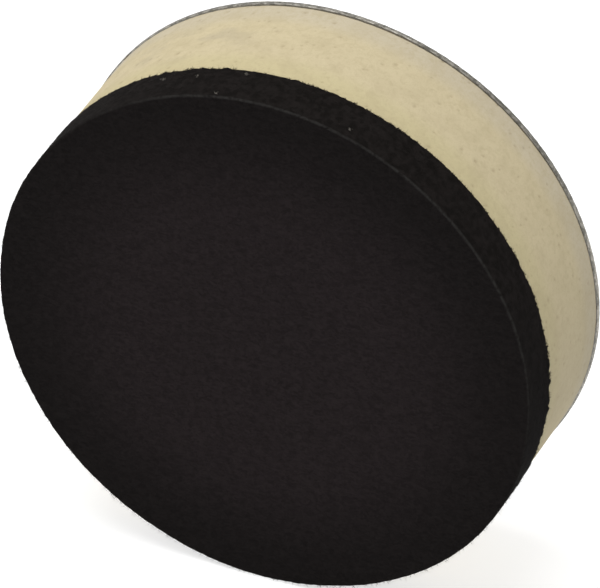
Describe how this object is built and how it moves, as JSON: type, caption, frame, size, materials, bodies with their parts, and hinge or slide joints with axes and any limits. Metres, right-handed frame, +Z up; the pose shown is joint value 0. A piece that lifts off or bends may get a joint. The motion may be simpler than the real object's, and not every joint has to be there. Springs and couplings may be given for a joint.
{
  "type": "felt polishing wheel",
  "caption": "Round polishing wheel with a thick felt face on a firm foam cushion and a thin steel backing plate, driven by a threaded stud on a riveted hex hub.",
  "frame": {"origin": "centre of the hub's seat, the flat end of its hex at the root of the stud", "axes": "+Y is the wheel's spin axis, out along the stud and away from the felt; +Z is up; +X completes the right-handed frame"},
  "size_m": [0.0764, 0.0458, 0.0764],
  "materials": {
    "black_felt": "dense pressed felt, matt black",
    "cream_foam": "firm fine-cell foam, cut edge, matt cream",
    "contact_glue": "dried contact glue, satin amber",
    "zinc_plate": "zinc-coated sheet steel, satin grey",
    "turned_steel": "turned mild steel, zinc plated",
    "stud_steel": "black oxide on alloy steel",
    "rivet_steel": "upset steel, zinc plated"
  },
  "bodies": {
    "root": {"felt_facing": "black_felt", "facing_glue": "contact_glue", "foam_core": "cream_foam", "core_glue": "contact_glue", "backing_plate": "zinc_plate", "clamp_ring": "zinc_plate", "drive_hub": "turned_steel", "drive_stud": "stud_steel", "hub_rivets": "rivet_steel"}
  },
  "joints": []
}
